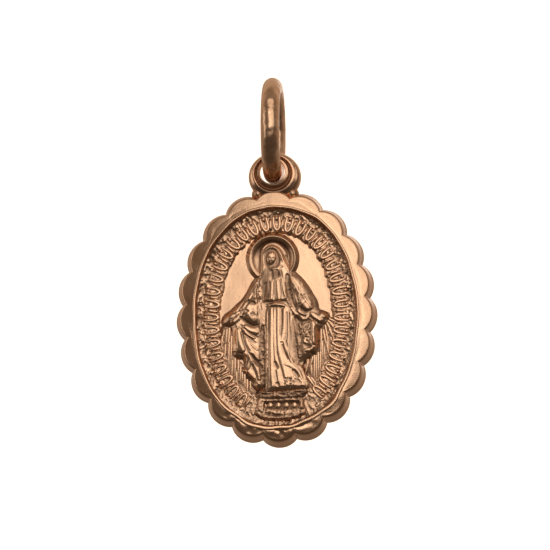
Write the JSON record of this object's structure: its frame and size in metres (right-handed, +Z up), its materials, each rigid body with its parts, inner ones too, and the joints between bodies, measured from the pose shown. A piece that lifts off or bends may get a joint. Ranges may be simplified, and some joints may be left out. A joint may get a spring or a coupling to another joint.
{
  "type": "religious medal pendant",
  "caption": "Oval scalloped medal with a raised standing figure in a sunk field, an eyelet at the top and a plain round jump ring.",
  "frame": {"origin": "inside top of the jump ring, where the chain lies", "axes": "+Z up along the hanging pendant, the medal's face looks along -Y, +X to the right of the face"},
  "size_m": [0.013, 0.007, 0.0241],
  "materials": {
    "medal_metal": "rose-coloured metal, satin field, polished border and relief, darker in the recesses",
    "ring_metal": "polished rose-coloured wire"
  },
  "bodies": {
    "ring": {"jump_ring": "ring_metal"},
    "medal": {"medal": "medal_metal"}
  },
  "joints": [
    {"name": "medal_swing", "type": "hinge", "parent": "ring", "child": "medal", "pos_m": [0, 0, -0.00505], "axis": [0, 1, 0], "range_deg": [-110, 110]}
  ]
}
